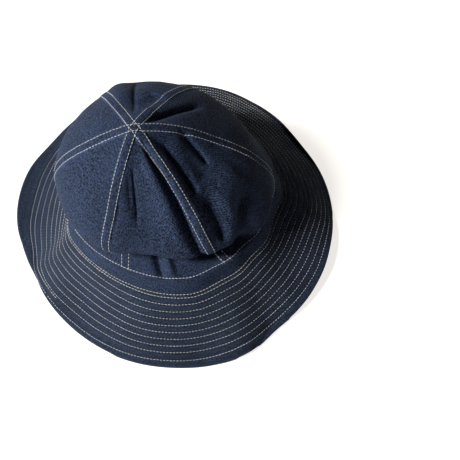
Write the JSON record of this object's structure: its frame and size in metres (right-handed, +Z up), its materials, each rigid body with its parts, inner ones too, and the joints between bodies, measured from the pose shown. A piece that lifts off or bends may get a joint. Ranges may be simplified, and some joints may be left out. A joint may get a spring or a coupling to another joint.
{
  "type": "denim bucket hat",
  "caption": "Soft denim bucket hat with a gored crown, a plain band and a wide stitched brim, resting on its rim",
  "frame": {"origin": "On the table, under the middle of the box round the rim", "axes": "+Z up through the crown, +Y away from the viewer of the picture, +X to that viewer's right"},
  "size_m": [0.3177, 0.3142, 0.1298],
  "materials": {
    "crown_denim": "indigo twill, softly creased",
    "brim_denim": "indigo twill, quilted with close rows of stitches",
    "thread": "ecru cotton thread"
  },
  "bodies": {
    "root": {"crown_gore_front": "crown_denim", "crown_gore_front_right": "crown_denim", "crown_gore_back_right": "crown_denim", "crown_gore_back": "crown_denim", "crown_gore_back_left": "crown_denim", "crown_gore_front_left": "crown_denim", "crown_band": "crown_denim", "brim_top": "brim_denim", "brim_under": "brim_denim"}
  },
  "joints": []
}
